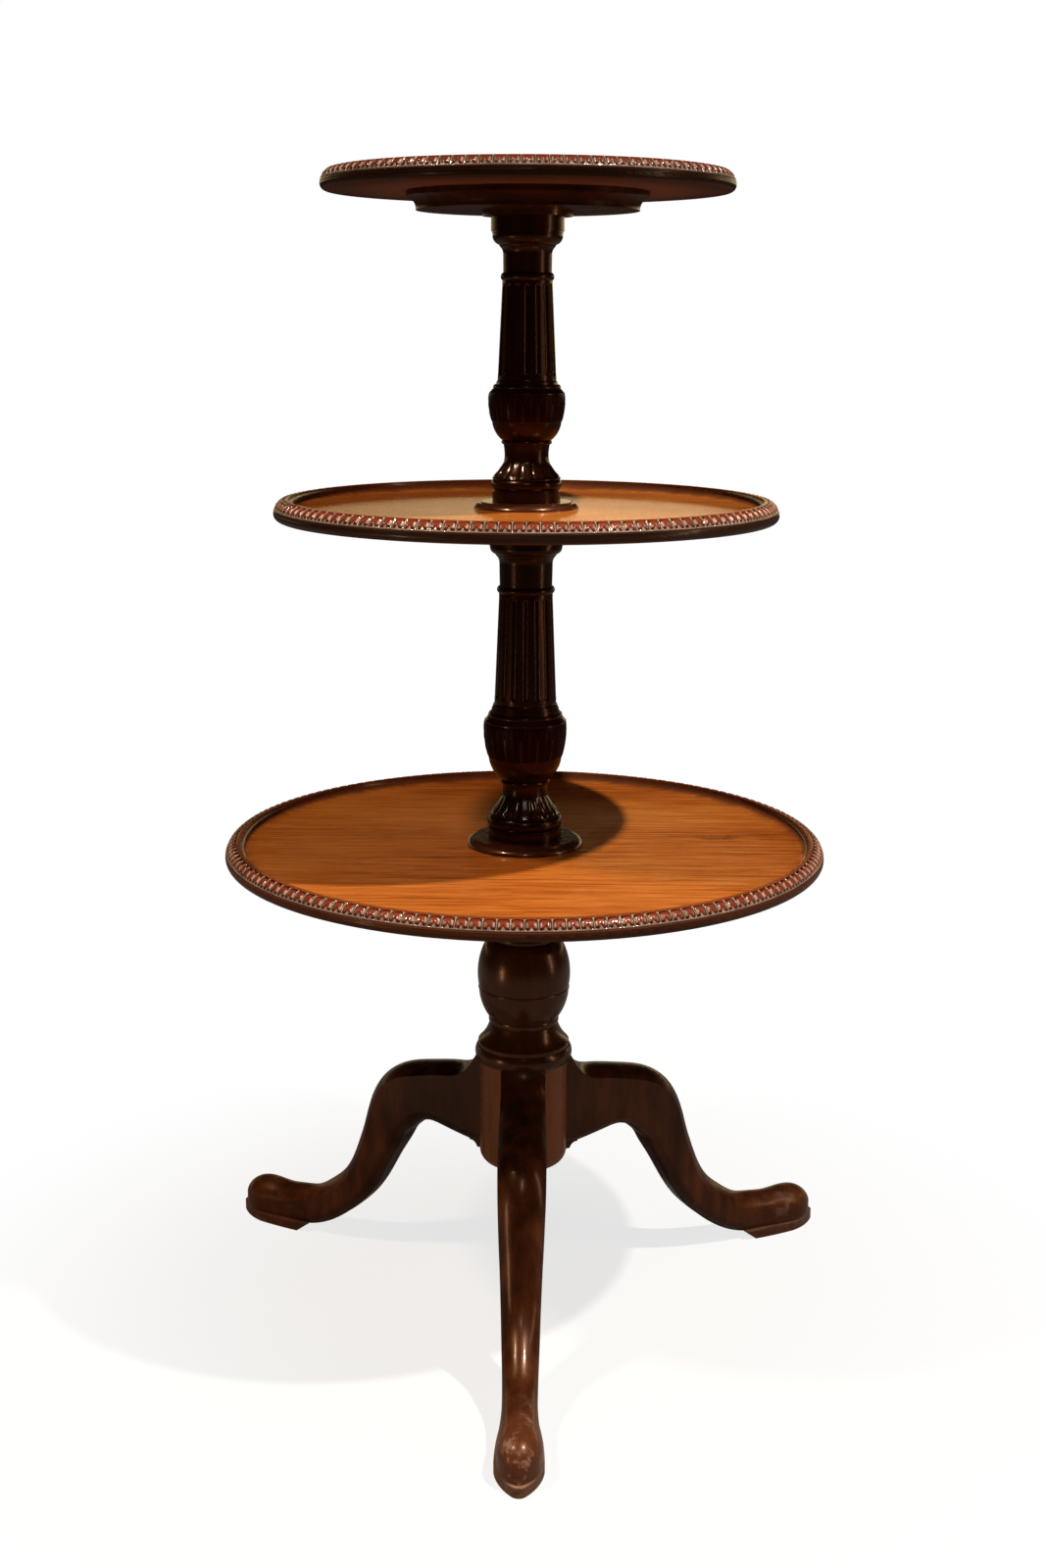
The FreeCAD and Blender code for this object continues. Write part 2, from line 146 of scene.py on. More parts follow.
def bandTree(name, carve):
    tree = bpy.data.node_groups.new(name, "GeometryNodeTree")
    for label, kind in bandInputs.items():
        tree.interface.new_socket(label, in_out="INPUT", socket_type=kind)
    tree.interface.new_socket("Geometry", in_out="OUTPUT", socket_type="NodeSocketGeometry")
    given = Wire(tree).node("NodeGroupInput")
    rows = given.out("Rows")
    grid = given.node("GeometryNodeMeshGrid", None, {
        "Size X": 1.0, "Size Y": 1.0,
        "Vertices X": given.out("Units") * given.out("Steps") + 1, "Vertices Y": rows + (backRows + 1),
    }, "Mesh")
    flat = given.node("ShaderNodeSeparateXYZ", None, {0: given.node("GeometryNodeInputPosition")})
    turn = flat.out("X") + 0.5  # once round
    row = (flat.out("Y") + 0.5) * (rows + backRows)  # up the face, down the back, then the first row again
    onFace = row < rows - 0.5
    onBack = (row > rows - 0.5) * (row < rows + (backRows - 0.5))
    backClimb = ((rows + (backRows - 1) - row) / (backRows - 1)).do("MAXIMUM", 0.0)
    climb = onFace * (row / (rows - 1)) + (1 - onFace) * backClimb
    across = (turn * given.out("Units")).do("FRACT") - 0.5
    height, pale = carve(across, climb)
    height = height * (1 - onBack)
    lift = height * given.out("Relief") - given.out("Sink") - onBack * given.out("Back")
    angle = given.out("Start angle") + (given.out("End angle") - given.out("Start angle")) * climb
    reach = given.out("Arc radius") + lift
    radius = given.out("Centre radius") + reach * angle.do("COSINE")
    bearing = turn * (2 * math.pi)
    place = {
        0: radius * bearing.do("COSINE"),
        1: radius * bearing.do("SINE"),
        2: given.out("Centre height") + reach * angle.do("SINE"),
    }
    for label, field in (("relief", height), ("pale", pale)):  # kept while the grid is still flat
        kept = {"Geometry": grid, "Name": label, "Value": field}
        grid = given.node("GeometryNodeStoreNamedAttribute", {"data_type": "FLOAT", "domain": "POINT"}, kept)
    moved = {"Geometry": grid, "Position": given.node("ShaderNodeCombineXYZ", None, place)}
    shaped = given.node("GeometryNodeSetPosition", None, moved)
    closed = given.node("GeometryNodeMergeByDistance", None, {"Geometry": shaped, "Distance": weldGap})
    smooth = given.node("GeometryNodeSetShadeSmooth", None, {"Geometry": closed})
    real = given.node("GeometryNodeRealizeInstances", None, {"Geometry": smooth})
    finish = {"Geometry": real, "Material": given.out("Material")}
    dressed = given.node("GeometryNodeSetMaterial", None, finish)
    given.node("NodeGroupOutput", None, {"Geometry": dressed})
    return tree


def carveBand(name, tree, values, body):
    piece = bpy.data.objects.new(name, bpy.data.meshes.new(name))
    scene.collection.objects.link(piece)
    carving = piece.modifiers.new("carving", "NODES")
    carving.node_group = tree
    for item in tree.interface.items_tree:
        if item.in_out == "INPUT" and item.name in values:
            carving[item.identifier] = values[item.name]
    graph = bpy.context.evaluated_depsgraph_get()
    ready = piece.evaluated_get(graph)
    made = bpy.data.meshes.new_from_object(ready, preserve_all_data_layers=True, depsgraph=graph)
    piece.modifiers.remove(carving)
    piece.data = made
    shell = bmesh.new()
    shell.from_mesh(made)
    bmesh.ops.recalc_face_normals(shell, faces=shell.faces)
    shell.to_mesh(made)
    shell.free()
    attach(piece, body)
    print("carved", name, len(made.polygons), "faces")


# what one unit of each carving looks like; across runs from -0.5 to 0.5, climb from 0 to 1

rimUnit = {
    "lobe": 0.39, "topTaper": 0.14, "footTaper": 0.10, "round": 0.20, "notch": 0.25, "notchSlope": 0.60,
    "rib": 0.45, "ribSpread": 0.06, "ribHeight": 0.70, "footHeight": 0.35, "ribPale": 0.75, "footPale": 0.55,
}


def leafEdge(across, climb):  # lobes notched at the foot, a rib between each two, and a fillet below; pale crescents on the lobes' lower sides are painted highlights
    side = abs(across)
    width = rimUnit["lobe"] - climb.step(0.72, 1.0) * rimUnit["topTaper"]
    inside = width - climb.step(0.24, 0.08) * rimUnit["footTaper"] - side
    lobe = (inside / rimUnit["round"]).do("MAXIMUM", 0.0).do("MINIMUM", 1.0)
    lobe = (1 - (1 - lobe) ** 2) * climb.step(0.09, 0.24) * climb.step(0.90, 0.66)
    notch = (rimUnit["notch"] - climb * rimUnit["notchSlope"] - side).step(-0.02, 0.04)
    foot = climb.step(0.13, 0.09).do("MAXIMUM", notch)
    rib = (side - rimUnit["rib"] + climb.step(0.60, 0.90) * rimUnit["ribSpread"]).step(0.0, 0.035)
    rib = rib * climb.step(0.97, 0.80)
    height = (lobe * (1 - notch)).do("MAXIMUM", rib * rimUnit["ribHeight"])
    height = height.do("MAXIMUM", foot * rimUnit["footHeight"])
    # pale crescents inside the lobes' lower sides: painted highlights
    crescentGlint = inside.step(0.0, 0.03) * inside.step(0.15, 0.09)
    crescentGlint = crescentGlint * climb.step(0.20, 0.32) * climb.step(0.66, 0.52)
    pale = crescentGlint.do("MAXIMUM", rib * rimUnit["ribPale"]).do("MAXIMUM", foot * rimUnit["footPale"])
    return height, pale


leafUnit = {
    "halfWidth": 0.46, "tipStart": 0.58, "tipLength": 0.38, "veinsAcross": 34.0, "veinsUp": 22.0,
    "body": 0.40, "edge": 0.30, "rib": 0.35, "vein": 0.22, "behind": 0.5, "behindStart": 0.60,
}


def lappets(across, climb):  # tongue-shaped leaves with a raised edge and a midrib, tips at the vase's lip
    side = abs(across)
    tip = ((climb - leafUnit["tipStart"]) / leafUnit["tipLength"]).do("MAXIMUM", 0.0)
    inside = leafUnit["halfWidth"] * (1 - tip ** 2).do("MAXIMUM", 0.0) ** 0.5 - side
    body = inside.step(0.0, 0.05)
    edge = inside.step(0.12, 0.04) * body
    rib = side.step(0.08, 0.02) * climb.step(0.95, 0.80) * body
    wave = (side * leafUnit["veinsAcross"] - climb * leafUnit["veinsUp"]).do("COSINE")
    veins = (wave * 0.5 + 0.5) * body * (1 - edge)
    behind = (climb - leafUnit["behindStart"] - (0.5 - side) * 0.5).step(0.0, 0.05)
    behind = behind * climb.step(1.0, 0.92) * leafUnit["behind"]  # tips of the leaves behind
    height = body * leafUnit["body"] + edge * leafUnit["edge"]
    height = height + rib * leafUnit["rib"] + veins * leafUnit["vein"]
    height = height.do("MAXIMUM", behind) * climb.step(0.0, 0.10)
    return height, edge.do("MAXIMUM", rib) * climb.step(0.35, 0.9)


lobeUnit = {"groove": 0.2, "pale": 0.3}


def trumpetLeaves(across, climb):  # round lobes that fade towards the waist, paler on their crowns as a painted highlight
    side = abs(across)
    dome = (1 - (side / 0.5) ** 2).do("MAXIMUM", 0.0) ** 0.5
    groove = side.step(0.03, 0.09) * lobeUnit["groove"] + (1 - lobeUnit["groove"])
    height = dome * groove * climb.step(0.0, 0.15) * climb.step(0.95, 0.45)
    return height, height * lobeUnit["pale"]


# finishes

lacquerIor = 1.5
bumpDepth = 0.001  # metres


def newMaterial(name):
    material = bpy.data.materials.new(name)
    material.use_nodes = True
    material.node_tree.nodes.clear()
    at = Wire(material.node_tree).node("ShaderNodeTexCoord", None, None, "Object")
    return material, at


def noise(at, scale, detail=4.0, rough=0.55, stretch=(1, 1, 1), shift=(0, 0, 0)):
    laid = at.node("ShaderNodeMapping", None, {"Vector": at, "Location": shift, "Scale": stretch})
    sockets = {"Vector": laid, "Scale": scale, "Detail": detail, "Roughness": rough}
    return at.node("ShaderNodeTexNoise", None, sockets)


def finishMaterial(material, at, colour, rough, relief, look):
    bump = {"Strength": look["bump"], "Distance": bumpDepth, "Height": relief}
    surface = at.node("ShaderNodeBsdfPrincipled", None, {
        "Base Color": colour, "Roughness": rough, "Normal": at.node("ShaderNodeBump", None, bump),
        "IOR": lacquerIor, "Specular IOR Level": look["specular"], "Specular Tint": look["sheen"],
        "Coat Weight": look["coat"], "Coat Roughness": look["coatRough"], "Coat IOR": lacquerIor,
    })
    at.node("ShaderNodeOutputMaterial", None, {"Surface": surface})
    return material


def placeOf(at):
    return at.node("ShaderNodeSeparateXYZ", None, {0: at})


def fromAxis(place):  # distance from the columns' axis
    x, y = place.out("X"), place.out("Y")
    return (x * x + y * y).do("SQRT")


trayLook = {
    "light": rgb(0.58, 0.188, 0.031), "mid": rgb(0.445, 0.112, 0.0145), "dark": rgb(0.22, 0.045, 0.006),
    "stain": rgb(0.24, 0.055, 0.011), "pore": rgb(0.10, 0.024, 0.006), "darkNearRim": rgb(0.13, 0.032, 0.009),
    "joint": rgb(0.085, 0.020, 0.005), "knot": rgb(0.11, 0.024, 0.006), "crown": rgb(0.20, 0.048, 0.012),
    "coveLight": rgb(0.15, 0.045, 0.017), "coveDark": rgb(0.085, 0.022, 0.009),
    "edgeDark": (0.016, 0.004, 0.002), "edgeLight": (0.045, 0.012, 0.004),
    "underDark": rgb(0.11, 0.030, 0.010), "underLight": rgb(0.26, 0.085, 0.030),
    "underRim": rgb(0.030, 0.008, 0.003),
    "bump": 0.12, "specular": 0.25, "coat": 0.15, "coatRough": 0.10, "sheen": rgb(1.0, 0.80, 0.60),
}
dullTrayLook = {**trayLook, "specular": 0.13, "coat": 0.06}
trayGrain = {  # how each layer is drawn out; the grain runs left to right
    "broad": (2.2, 9.0, 1.0), "streak": (7.0, 190.0, 20.0), "fine": (22.0, 620.0, 60.0),
    "pores": (75.0, 1500.0, 100.0), "stain": (1.0, 2.2, 1.0), "lines": (4.0, 230.0, 20.0),
    "flecks": (55.0, 330.0, 60.0), "swirl": (45.0, 120.0, 20.0), "edge": (9.0, 9.0, 260.0),
}
trayTone = {  # weights of the grain, and of a painted shade towards the right
    "broad": 0.9, "streak": 1.5, "fine": 1.2, "shadeTowardsRight": 0.5, "level": 0.52,
}
trayMarks = {  # how strongly each mark shows
    "stain": 0.45, "lines": 0.38, "flecks": 0.40, "pores": 0.45, "joint": 0.7, "knot": 0.45, "knotSwirl": 1.6,
    "darkNearRim": 0.55, "underRim": 0.8,
}
traySection = {  # millimetres in from the rim or down from the top: where a zone starts, and where it is full
    "darkNearRim": (34.0, 20.0), "cove": (22.5, 15.0), "edge": (3.0, 1.0), "crown": (2.2, 0.8),
    "under": (17.5, 19.2),
}
knotSize = {"long": 0.034, "wide": 0.011, "ripple": 0.022}  # metres
jointLine = {"slant": 0.05, "waver": 0.004, "outer": 0.0022, "inner": 0.0006}
trays = {  # radius and top in millimetres, as the part's own; joint and knot in metres; edgeLightLevel scales the outer edge's colour, painted light and shade
    "bottom": {
        "radius": 300.0, "top": 506.0, "shift": (0.0, 0.0, 0.0), "joint": -0.050, "knot": (0.200, 0.026),
        "edgeLightLevel": 2.2, "polish": 0.15, "look": dullTrayLook,
    },
    "middle": {
        "radius": 244.7, "top": 844.0, "shift": (3.3, 1.4, 0.0), "joint": 0.062, "knot": (-0.120, -0.140),
        "edgeLightLevel": 0.7, "polish": 0.22, "look": trayLook,
    },
    "top": {
        "radius": 194.8, "top": 1149.0, "shift": (6.8, 4.5, 0.0), "joint": 0.021, "knot": (0.070, 0.110),
        "edgeLightLevel": 0.45, "polish": 0.20, "look": dullTrayLook,
    },
}


def trayWood(name, tray):  # two boards that meet at a joint, a dark rim and a plain underside
    material, at = newMaterial(name)
    look, shift, radius, top = tray["look"], tray["shift"], tray["radius"], tray["top"]
    place = placeOf(at)
    x, y, z, far = place.out("X"), place.out("Y"), place.out("Z"), fromAxis(place)

    def layer(label, detail, rough):
        return noise(at, 1.0, detail, rough, trayGrain[label], shift)

    def inFromRim(zone):
        start, end = traySection[zone]
        return far.step((radius - start) / 1000, (radius - end) / 1000)

    def belowTop(zone):
        start, end = traySection[zone]
        return z.step((top - start) / 1000, (top - end) / 1000)

    broad, streak, fine = layer("broad", 3.0, 0.5), layer("streak", 6.0, 0.62), layer("fine", 3.0, 0.6)
    pores = layer("pores", 2.0, 0.5).step(0.60, 0.72)
    tone = (broad - 0.5) * trayTone["broad"] + (streak - 0.5) * trayTone["streak"]
    # darker towards the right: painted shade
    tone = tone + (fine - 0.5) * trayTone["fine"] - x * trayTone["shadeTowardsRight"] + trayTone["level"]
    colour = tone.ramp((0.12, look["dark"]), (0.46, look["mid"]), (0.78, look["light"]))
    stain = noise(at, 3.5, 4.0, 0.6, trayGrain["stain"], shift).step(0.56, 0.78)
    colour = (stain * trayMarks["stain"]).mix(colour, look["stain"])
    lines, flecks = layer("lines", 4.0, 0.6).step(0.57, 0.70), layer("flecks", 2.0, 0.5).step(0.62, 0.74)
    colour = (lines * trayMarks["lines"] + flecks * trayMarks["flecks"]).mix(colour, look["dark"])
    colour = (pores * trayMarks["pores"]).mix(colour, look["pore"])

    offJoint = abs(y - tray["joint"] - x * jointLine["slant"] + (streak - 0.5) * jointLine["waver"])
    crack = offJoint.step(jointLine["outer"], jointLine["inner"]) * noise(at, 9.0, 3.0).step(0.35, 0.6)
    colour = (crack * trayMarks["joint"]).mix(colour, look["joint"])
    swirl = layer("swirl", 4.0, 0.6) - 0.5
    along = (x - tray["knot"][0]) / knotSize["long"]
    aside = (y - tray["knot"][1] + swirl * knotSize["ripple"]) / knotSize["wide"]
    eye = (along ** 2 + aside ** 2).step(1.0, 0.15)
    colour = (eye * (trayMarks["knot"] + swirl * trayMarks["knotSwirl"])).mix(colour, look["knot"])

    # patchy darkening near the rim
    darkNearRim = inFromRim("darkNearRim") * noise(at, 30.0, 3.0).step(0.35, 0.7) * trayMarks["darkNearRim"]
    colour = darkNearRim.mix(colour, look["darkNearRim"])
    # the cove darker than the top, painted shade with grime; its upward crown strip lighter, painted light
    cove = noise(at, 14.0, 3.0).mix(look["coveLight"], look["coveDark"])
    colour = inFromRim("cove").mix(colour, belowTop("crown").mix(cove, look["crown"]))
    edge = inFromRim("edge")
    # each tray's outer edge is scaled by its light level: painted light and shade
    edgeDark, edgeLight = rgb(*look["edgeDark"], tray["edgeLightLevel"]), rgb(*look["edgeLight"], tray["edgeLightLevel"])
    colour = edge.mix(colour, noise(at, 1.0, 4.0, 0.6, trayGrain["edge"]).mix(edgeDark, edgeLight))
    below = belowTop("under")
    under = streak.mix(look["underDark"], look["underLight"])
    outwards = far.step(radius * 0.00060, radius * 0.00098)  # from 0.60 to 0.98 of the radius, in metres
    under = (outwards * trayMarks["underRim"]).mix(under, look["underRim"])
    colour = below.mix(colour, under)

    rough = tray["polish"] + (noise(at, 12.0, 5.0, 0.65) - 0.5) * 0.12
    rough = rough + pores * 0.1 + below * 0.4 + darkNearRim * 0.2 + edge * 0.1
    return finishMaterial(material, at, colour, rough, fine * 0.3 + streak * 0.2 - pores * 0.5, look)


darkLook = {
    "bump": 0.025, "specular": 0.24, "coat": 0.07, "coatRough": 0.10, "sheen": rgb(1.0, 0.50, 0.28),
    "rough": 0.27, "uneven": 0.14,
}
carveLook = {**darkLook, "specular": 0.25, "coat": 0.55, "coatRough": 0.08}
footLook = {**carveLook, "coat": 1.0}
mattLook = {**darkLook, "specular": 0.05, "coat": 0.0}
pillarLook = {**darkLook, "specular": 0.40, "coat": 0.18, "coatRough": 0.16}
legLook = {**pillarLook, "rough": 0.34, "uneven": 0.24}
collarLook = {**darkLook, "bump": 0.02, "specular": 0.45, "coat": 0.35, "coatRough": 0.07}
turnedGrain = {"patches": 6.0, "drawn": (1.0, 1.0, 0.6), "contrast": 0.9, "poresFiner": 8}
legGrain = {
    "patches": 7.0, "drawn": (1, 1, 1), "contrast": 1.3,
    "streak": (60.0, 60.0, 14.0), "pores": (500.0, 500.0, 60.0),
}
# colours of wear; the drum, toe and pad ones also hold painted light
wearAndLightLook = {
    "turnedPore": rgb(0.012, 0.004, 0.002), "legPore": rgb(0.014, 0.005, 0.003),
    "drum": rgb(0.30, 0.10, 0.030), "toe": rgb(0.145, 0.044, 0.018), "scuff": rgb(0.34, 0.20, 0.14),
    "pad": rgb(0.17, 0.080, 0.044), "padEdge": rgb(0.36, 0.22, 0.15),
}
wearAndSheenZones = {  # metres: where each starts, and where it is full
    "toeReach": (0.27, 0.35), "toeHeight": (0.085, 0.03), "pad": (0.0112, 0.0098),
    "padEdgeLow": (0.0086, 0.0100), "padEdgeHigh": (0.0114, 0.0104),
}
drumFade = 0.001  # metres


def darkGrain(at, tones, grain, streakDrawn, poresDrawn, shift):  # colour, streaks and pores of the dark wood
    broad = noise(at, grain["patches"], 3.0, 0.55, grain["drawn"], shift)
    streak = noise(at, 1.0, 5.0, 0.62, streakDrawn, shift)
    pores = noise(at, 1.0, 2.0, 0.5, poresDrawn, shift).step(0.60, 0.72)
    tone = (broad - 0.5) * grain["contrast"] + (streak - 0.5) * grain["contrast"] + 0.5
    return tone.ramp((0.2, tones[0]), (0.5, tones[1]), (0.82, tones[2])), streak, pores


def oldPolish(at, look, shift):  # roughness, uneven from use
    return look["rough"] + (noise(at, 25.0, 5.0, 0.65, (1, 1, 1), shift) - 0.5) * look["uneven"]


def turnedWood(name, tones, drawn, shift, look=darkLook, paleBelow=0.0):  # paler below a given height: the drum's own paler tone with painted light
    material, at = newMaterial(name)
    finer = tuple(turnedGrain["poresFiner"] * part for part in drawn)
    colour, streak, pores = darkGrain(at, tones, turnedGrain, drawn, finer, shift)
    if paleBelow:
        # the drum's paleness: its own tone with painted light
        paleWearAndLight = placeOf(at).out("Z").step(paleBelow, paleBelow - drumFade) * (0.30 + streak * 0.7)
        colour = paleWearAndLight.mix(colour, wearAndLightLook["drum"])
    colour = (pores * 0.5).mix(colour, wearAndLightLook["turnedPore"])
    rough = oldPolish(at, look, shift) + pores * 0.06
    return finishMaterial(material, at, colour, rough, streak * 0.25 - pores * 0.4, look)


def legWood(name, tones, shift, wearAndSheen):  # scuffed toes and rubbed pads; how pale the toe and pad get is set per leg, most on the front leg: wear with painted sheen
    material, at = newMaterial(name)
    place = placeOf(at)
    z, far = place.out("Z"), fromAxis(place)
    colour, streak, pores = darkGrain(at, tones, legGrain, legGrain["streak"], legGrain["pores"], shift)
    colour = (pores * 0.45).mix(colour, wearAndLightLook["legPore"])
    # toe and pad paleness: wear with painted sheen, scaled per leg
    toe = far.step(*wearAndSheenZones["toeReach"]) * z.step(*wearAndSheenZones["toeHeight"]) * wearAndSheen
    scuff = noise(at, 45.0, 6.0, 0.7, (1, 1, 1), shift).step(0.52, 0.66) * toe
    colour = (toe * 0.55).mix(colour, wearAndLightLook["toe"])
    colour = (scuff * 0.75).mix(colour, wearAndLightLook["scuff"])
    padWearAndSheen = z.step(*wearAndSheenZones["pad"]) * (noise(at, 60.0, 4.0, 0.6).step(0.3, 0.6) * 0.5 + 0.3) * wearAndSheen
    padEdge = z.step(*wearAndSheenZones["padEdgeLow"]) * z.step(*wearAndSheenZones["padEdgeHigh"])
    padEdge = padEdge * noise(at, 35.0, 4.0, 0.6).step(0.3, 0.55) * wearAndSheen
    colour = padWearAndSheen.mix(colour, wearAndLightLook["pad"])
    colour = (padEdge * 0.7).mix(colour, wearAndLightLook["padEdge"])
    rough = oldPolish(at, legLook, shift) + scuff * 0.25 + padWearAndSheen * 0.2
    return finishMaterial(material, at, colour, rough, streak * 0.25 - pores * 0.4 - scuff * 0.5, legLook)


def carvedWood(name, tones, look):  # darker in the hollows: painted shade with dirt; lighter crests: painted light; pale wear on ribs and edges, with painted highlights
    material, at = newMaterial(name)
    height = at.node("ShaderNodeAttribute", {"attribute_name": "relief"}, None, "Fac")
    pale = at.node("ShaderNodeAttribute", {"attribute_name": "pale"}, None, "Fac")
    patch = noise(at, 40.0, 4.0, 0.6)
    # the ramp over the relief paints shade into the hollows and light onto the crests
    level = height + (patch - 0.5) * 0.2
    colour = level.ramp((0.18, tones["hollow"]), (0.60, tones["face"]), (1.0, tones["crest"]))
    wearAndGlint = pale.step(0.2, 0.8) * (patch.step(0.3, 0.6) * 0.4 + 0.5)
    colour = wearAndGlint.mix(colour, tones["paleWearAndLight"])
    rough = 0.36 + (patch - 0.5) * 0.2 + wearAndGlint * 0.1
    return finishMaterial(material, at, colour, rough, noise(at, 400.0, 3.0), look)


def ironFinish(name, dark, light):
    material, at = newMaterial(name)
    patch = noise(at, 300.0, 4.0, 0.6)
    sockets = {"Base Color": patch.mix(dark, light), "Roughness": 0.4 + patch * 0.25, "Metallic": 1.0}
    surface = at.node("ShaderNodeBsdfPrincipled", None, sockets)
    at.node("ShaderNodeOutputMaterial", None, {"Surface": surface})
    return material


# the columns' wood darker than the pillar's: darker polish with painted shade from the trays above
columnTones = (rgb(0.004, 0.001, 0.0005), rgb(0.012, 0.0025, 0.001), rgb(0.030, 0.007, 0.002))
pillarTones = (rgb(0.014, 0.004, 0.002), rgb(0.042, 0.011, 0.004), rgb(0.085, 0.025, 0.008))
legTones = (rgb(0.009, 0.002, 0.001), rgb(0.036, 0.0085, 0.0025), rgb(0.086, 0.022, 0.006))
spindleTones = (rgb(0.25, 0.15, 0.08), rgb(0.38, 0.24, 0.13), rgb(0.48, 0.31, 0.17))
rimTones = {
    "hollow": rgb(0.008, 0.002, 0.001), "face": rgb(0.09, 0.014, 0.005),
    "crest": rgb(0.19, 0.028, 0.010), "paleWearAndLight": rgb(0.50, 0.36, 0.28),
}
# a darker copy of the rim's tones for the top tray: painted shade
topRimTones = {
    "hollow": rgb(0.005, 0.001, 0.001), "face": rgb(0.05, 0.009, 0.004),
    "crest": rgb(0.11, 0.018, 0.007), "paleWearAndLight": rgb(0.34, 0.25, 0.20),
}
# as dark as the columns' wood, with the same painted shade
leafTones = {
    "hollow": rgb(0.004, 0.001, 0.001), "face": rgb(0.012, 0.0025, 0.001),
    "crest": rgb(0.028, 0.006, 0.002), "paleWearAndLight": rgb(0.036, 0.010, 0.004),
}
drumTop = 0.267  # metres
alongColumn = (70.0, 70.0, 6.0)

collarWood = turnedWood("collarWood", pillarTones, (12.0, 80.0, 12.0), (2.2, 5.1, 0.0), collarLook)
spindleWood = turnedWood("spindleWood", spindleTones, (80.0, 80.0, 9.0), (0.0, 3.0, 0.0))
rimCarving = carvedWood("rimCarving", rimTones, carveLook)
topRimCarving = carvedWood("topRimCarving", topRimTones, carveLook)
vaseCarving = carvedWood("vaseCarving", leafTones, mattLook)
footCarving = carvedWood("footCarving", leafTones, footLook)
finishes = {
    "base_pillar": turnedWood(
        "pillarWood", pillarTones, (55.0, 55.0, 5.0), (4.1, 0.7, 0.2), pillarLook, drumTop,
    ),
    # the last number: how pale toe and pad get, wear with painted sheen, most on the front leg
    "front_leg": legWood("frontLegWood", legTones, (0.0, 0.0, 0.0), 1.0),
    "right_leg": legWood("rightLegWood", legTones, (3.1, 1.2, 0.4), 0.3),
    "left_leg": legWood("leftLegWood", legTones, (7.7, 2.9, 1.3), 0.2),
    "lower_spindle": spindleWood, "middle_spindle": spindleWood, "top_pivot": spindleWood,
    "bottom_washer": collarWood, "middle_washer": collarWood, "top_washer": collarWood,
    "bottom_collar": collarWood, "middle_collar": collarWood,
    "lower_column": turnedWood("lowerColumnWood", columnTones, alongColumn, (0.3, 0.1, 0.0)),
    "upper_column": turnedWood("upperColumnWood", columnTones, alongColumn, (1.7, 2.4, 0.5)),
    "bottom_tier": trayWood("bottomTrayWood", trays["bottom"]),
    "middle_tier": trayWood("middleTrayWood", trays["middle"]),
    "top_tier": trayWood("topTrayWood", trays["top"]),
    "top_bearer": turnedWood("bearerWood", pillarTones, (8.0, 75.0, 75.0), (6.2, 1.1, 0.0), mattLook),
    "bearer_screws": ironFinish("oldIron", rgb(0.05, 0.045, 0.042), rgb(0.16, 0.13, 0.11)),
}
for name, material in finishes.items():
    slots = nodes[name].data.materials
    slots.clear()
    slots.append(material)
print("finishes:", len(finishes))


# carved rims of the trays: millimetres of the part's own section, metres for the relief

rimCarve = {
    "unitWidth": 12.1, "edgeRise": 10.0, "setback": 1.5, "width": 10.5, "rimDepth": 19.5, "bulge": 0.09,
    "Steps": 28, "Rows": 16, "Relief": 0.0017, "Sink": 0.0001, "Back": 0.0008,
}


def rimBand(name, tree, tray, body, material):
    outer = tray["radius"] - rimCarve["setback"]
    low = tray["top"] - rimCarve["rimDepth"] + rimCarve["edgeRise"]
    arc = arcOf(outer, low, outer - rimCarve["width"], tray["top"], rimCarve["bulge"])
    units = round(2 * math.pi * (outer - rimCarve["width"] / 2) / rimCarve["unitWidth"])
    carveBand(name, tree, {**rimCarve, **arc, "Units": units, "Material": material}, body)


edgeTree = bandTree("leafEdgeRing", leafEdge)
rimBand("bottom_rim_carving", edgeTree, trays["bottom"], "bottom_revolving", rimCarving)
rimBand("middle_rim_carving", edgeTree, trays["middle"], "middle_revolving", rimCarving)
rimBand("top_rim_carving", edgeTree, trays["top"], "top_revolving", topRimCarving)


# leaves on the columns' vases and feet

leafCarve = {"Steps": 20, "Rows": 22, "Sink": 0.0003, "Back": 0.0008}
vaseLeaves, footLeaves = 15, 14
lowerFoot, upperFoot = 504.8, 841.3  # undersides of the columns, millimetres


def leafBand(name, tree, arc, units, relief, material):
    values = {**leafCarve, **arcOf(*arc), "Units": units, "Relief": relief, "Material": material}
    carveBand(name, tree, values, "stand")


lappetTree = bandTree("lappetRing", lappets)
lobeTree = bandTree("lobeRing", trumpetLeaves)
lowerVase = (36.5, lowerFoot + 81.2, 40.8, lowerFoot + 119.2, 0.045)  # ends of the moulding, and its bulge
upperVase = (33.4, upperFoot + 75.2, 36.4, upperFoot + 103.2, 0.05)
lowerTrumpet = (34.8, lowerFoot + 23.7, 22.4, lowerFoot + 49.2, -0.12)
upperTrumpet = (33.4, upperFoot + 22.3, 21.3, upperFoot + 42.7, -0.12)
leafBand("lower_vase_leaves", lappetTree, lowerVase, vaseLeaves, 0.0011, vaseCarving)
leafBand("upper_vase_leaves", lappetTree, upperVase, vaseLeaves, 0.0010, vaseCarving)
leafBand("lower_foot_leaves", lobeTree, lowerTrumpet, footLeaves, 0.0018, footCarving)
leafBand("upper_foot_leaves", lobeTree, upperTrumpet, footLeaves, 0.0016, footCarving)


# floor, light and camera

